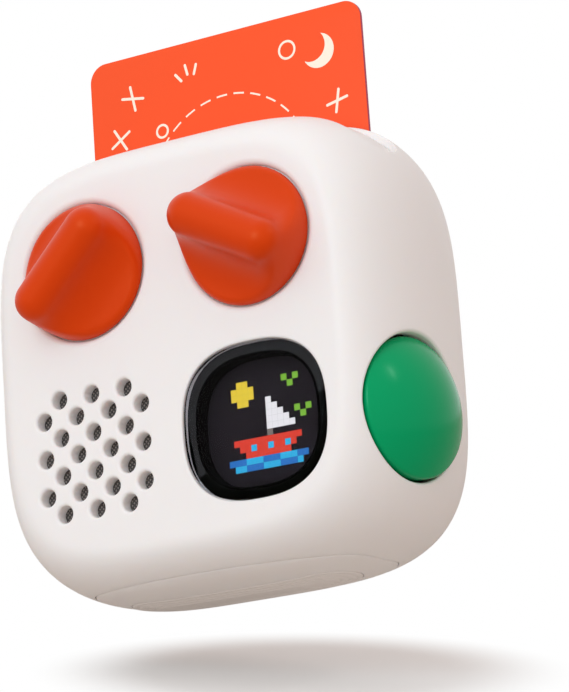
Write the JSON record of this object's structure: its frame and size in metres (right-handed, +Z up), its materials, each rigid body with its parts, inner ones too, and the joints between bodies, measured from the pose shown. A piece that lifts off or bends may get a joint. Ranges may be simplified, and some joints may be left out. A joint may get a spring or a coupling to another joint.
{
  "type": "audio story player",
  "caption": "Rounded audio story player with knobs, a pixel display, a speaker grille, a side play button and a card slot on top.",
  "frame": {"origin": "centre of the foot's lower face, which rests on a table", "axes": "+Z up, -Y out of the front with the knobs and display, +X towards the play button"},
  "size_m": [0.0788, 0.0481, 0.0974],
  "materials": {
    "shell": "satin off-white",
    "trim": "satin off-white",
    "knob": "satin orange",
    "play": "smooth green",
    "card": "printed orange-red card",
    "window": "dark smoked lens",
    "dark": "black plastic",
    "screen": "dark pixel screen",
    "inner": "moulded light grey",
    "board": "green solder mask",
    "copper": "copper track",
    "steel": "plated steel",
    "zinc": "die-cast case",
    "rubber": "soft light rubber",
    "foam": "closed-cell foam",
    "cloth": "dark woven mesh",
    "paper": "pressed paper",
    "wire": "red insulated wire",
    "cell": "foil pouch",
    "magnet": "plated magnet",
    "cream": "cream plastic"
  },
  "bodies": {
    "player": {"main_shell": "shell", "rear_cover": "trim", "rear_cover_screws": "steel", "base_cover": "shell", "base_screws": "steel", "foot_pad": "rubber", "slot_trim": "trim", "card_guide": "inner", "card_stop_switch": "dark", "reader_board": "board", "reader_coil": "copper", "chassis": "inner", "chassis_screws": "steel", "display_window": "window", "window_seal": "foam", "display_frame": "dark", "display_panel": "screen", "display_ribbon": "copper", "grille_cloth": "cloth", "speaker_gasket": "foam", "speaker_frame": "steel", "speaker_cone": "paper", "speaker_cap": "paper", "speaker_magnet": "magnet", "speaker_leads": "wire", "left_encoder": "zinc", "right_encoder": "zinc", "encoder_washers": "steel", "encoder_nuts": "steel", "control_board": "board", "button_holder": "inner", "button_spring": "steel", "button_switch": "dark", "button_board": "board", "main_board": "board", "main_board_screws": "steel", "processor_shield": "steel", "board_connectors": "cream", "battery": "cell", "battery_pad": "foam", "battery_leads": "wire", "charging_port": "steel", "headphone_jack": "dark", "power_switch": "dark"},
    "left_dial": {"left_knob": "knob", "left_shaft": "steel"},
    "right_dial": {"right_knob": "knob", "right_shaft": "steel"},
    "play_key": {"play_button": "play"},
    "card": {"story_card": "card"},
    "power_key": {"power_button": "trim"}
  },
  "joints": [
    {"name": "left_knob_turn", "type": "hinge", "parent": "player", "child": "left_dial", "pos_m": [-0.0156, -0.02, 0.05405], "axis": [0, -1, 0], "continuous": true},
    {"name": "right_knob_turn", "type": "hinge", "parent": "player", "child": "right_dial", "pos_m": [0.0156, -0.02, 0.05405], "axis": [0, -1, 0], "continuous": true},
    {"name": "play_button_press", "type": "slide", "parent": "player", "child": "play_key", "axis": [-0.9781, 0.2079, 0], "range_m": [0, 0.0012], "stiffness_N_per_m": 900, "springref_m": -0.0008, "deforming": ["button_spring"]},
    {"name": "card_slide", "type": "slide", "parent": "player", "child": "card", "axis": [0, 0, 1], "range_m": [0, 0.066]},
    {"name": "power_button_press", "type": "slide", "parent": "player", "child": "power_key", "axis": [0, -1, 0], "range_m": [0, 0.0005], "stiffness_N_per_m": 900, "springref_m": -0.0006}
  ]
}
